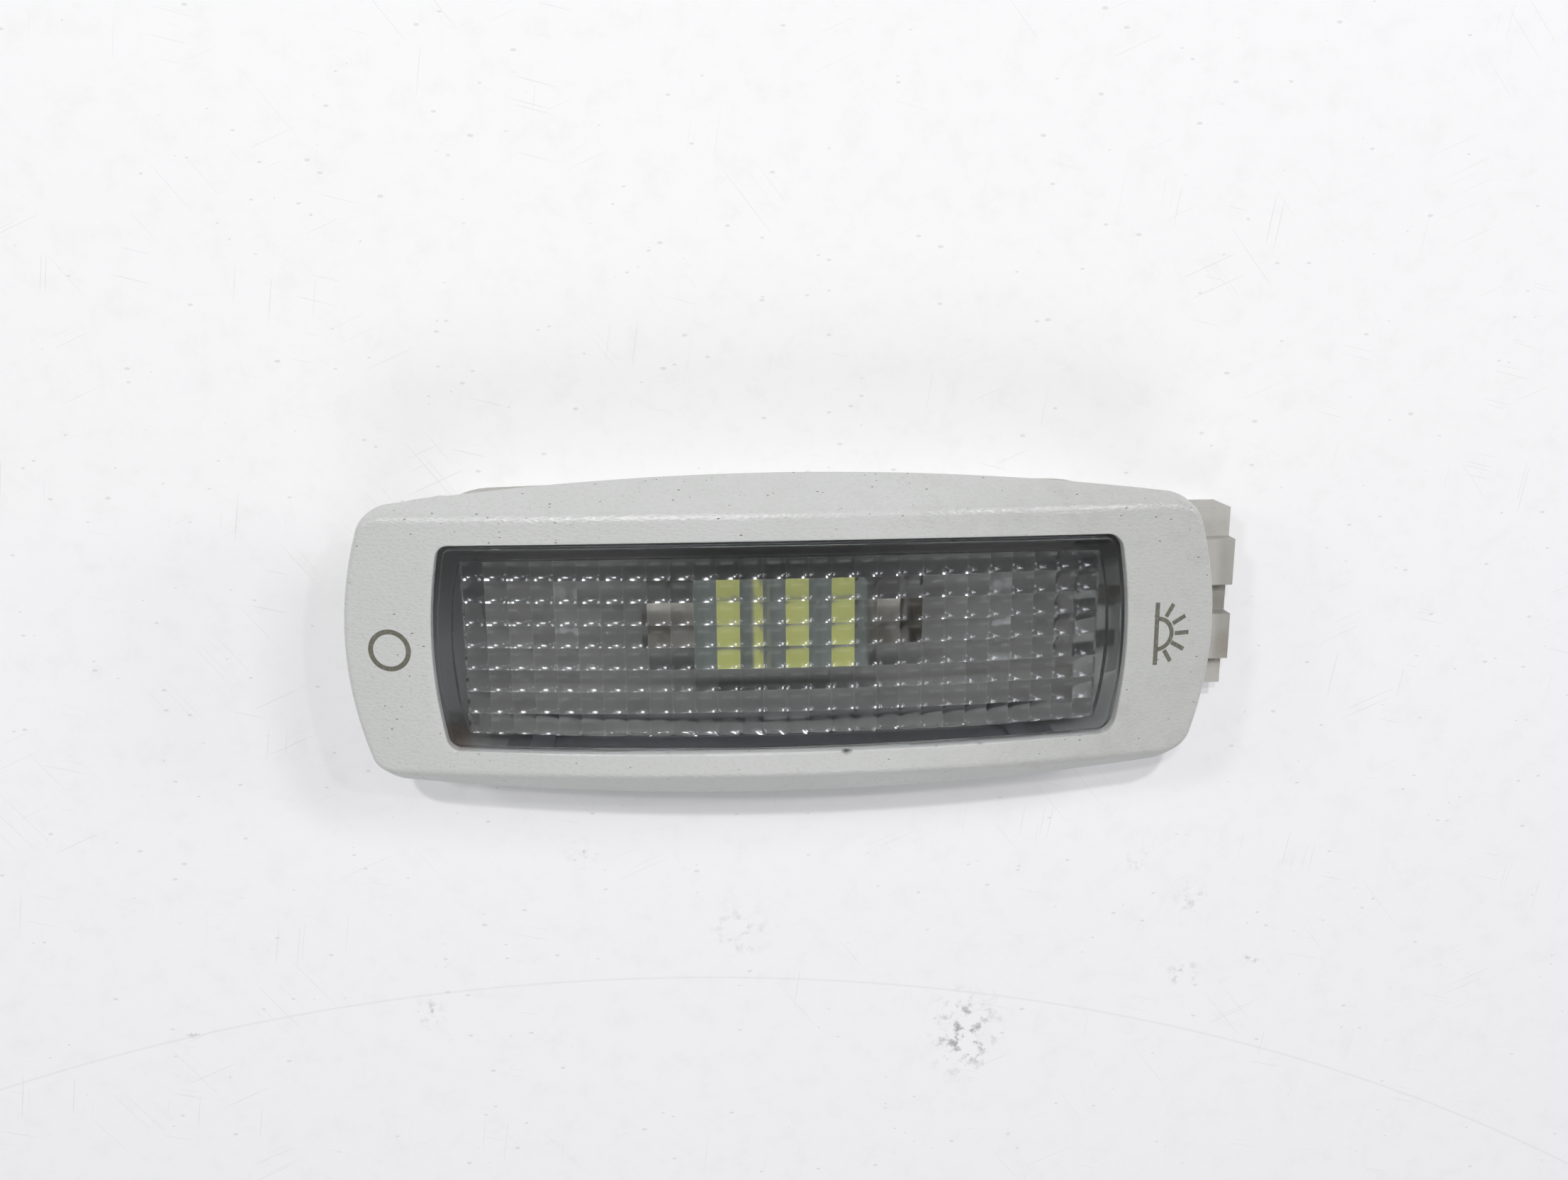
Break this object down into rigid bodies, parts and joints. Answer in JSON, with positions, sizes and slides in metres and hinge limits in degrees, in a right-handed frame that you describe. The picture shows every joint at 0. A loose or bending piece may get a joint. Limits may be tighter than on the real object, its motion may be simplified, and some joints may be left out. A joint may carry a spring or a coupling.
{
  "type": "car interior light",
  "caption": "Oblong car interior light: an arched rocking bezel with a clear pillow lens over an LED festoon lamp, in a shallow housing with a connector shroud.",
  "frame": {"origin": "middle of the flat back of the housing", "axes": "+X along the lamp's length, towards the connector shroud; +Z out of the lens"},
  "size_m": [0.1491, 0.0534, 0.03],
  "materials": {
    "housing_plastic": "moulded matte",
    "bezel_plastic": "fine grained matte",
    "clear_lens": "clear",
    "reflector_sheet": "satin",
    "contact_brass": "bare",
    "tinned_brass": "tinned",
    "cap_metal": "plated",
    "spring_steel": "bright",
    "board": "white solder mask",
    "phosphor": "yellow silicone",
    "black_epoxy": "moulded"
  },
  "bodies": {
    "housing": {"rear_housing": "housing_plastic", "reflector": "reflector_sheet", "bulb_contact_left": "contact_brass", "bulb_contact_right": "contact_brass", "contact_rivet_left": "tinned_brass", "contact_rivet_right": "tinned_brass", "led_board": "board", "led_cap_left": "cap_metal", "led_cap_right": "cap_metal", "lamp_rectifier": "black_epoxy", "lamp_resistor_1": "black_epoxy", "lamp_resistor_2": "black_epoxy", "terminal_supply": "tinned_brass", "terminal_ground": "tinned_brass", "terminal_door": "tinned_brass", "switch_common": "contact_brass", "switch_leaf": "spring_steel", "leaf_rivet": "tinned_brass", "detent_spring": "spring_steel", "detent_rivet": "tinned_brass", "mounting_clip": "spring_steel", "led_chip_01": "phosphor", "led_chip_02": "phosphor", "led_chip_03": "phosphor", "led_chip_04": "phosphor", "led_chip_05": "phosphor", "led_chip_06": "phosphor", "led_chip_07": "phosphor", "led_chip_08": "phosphor", "led_chip_09": "phosphor", "led_chip_10": "phosphor", "led_chip_11": "phosphor", "led_chip_12": "phosphor", "led_chip_13": "phosphor", "led_chip_14": "phosphor", "led_chip_15": "phosphor", "led_chip_16": "phosphor"},
    "rocker": {"bezel_frame": "bezel_plastic", "lens": "clear_lens"}
  },
  "joints": [
    {"name": "rocker_tilt", "type": "hinge", "parent": "housing", "child": "rocker", "pos_m": [0, 0, 0.018], "axis": [0, 1, 0], "range_deg": [-3, 3], "deforming": ["switch_leaf", "detent_spring"]}
  ]
}
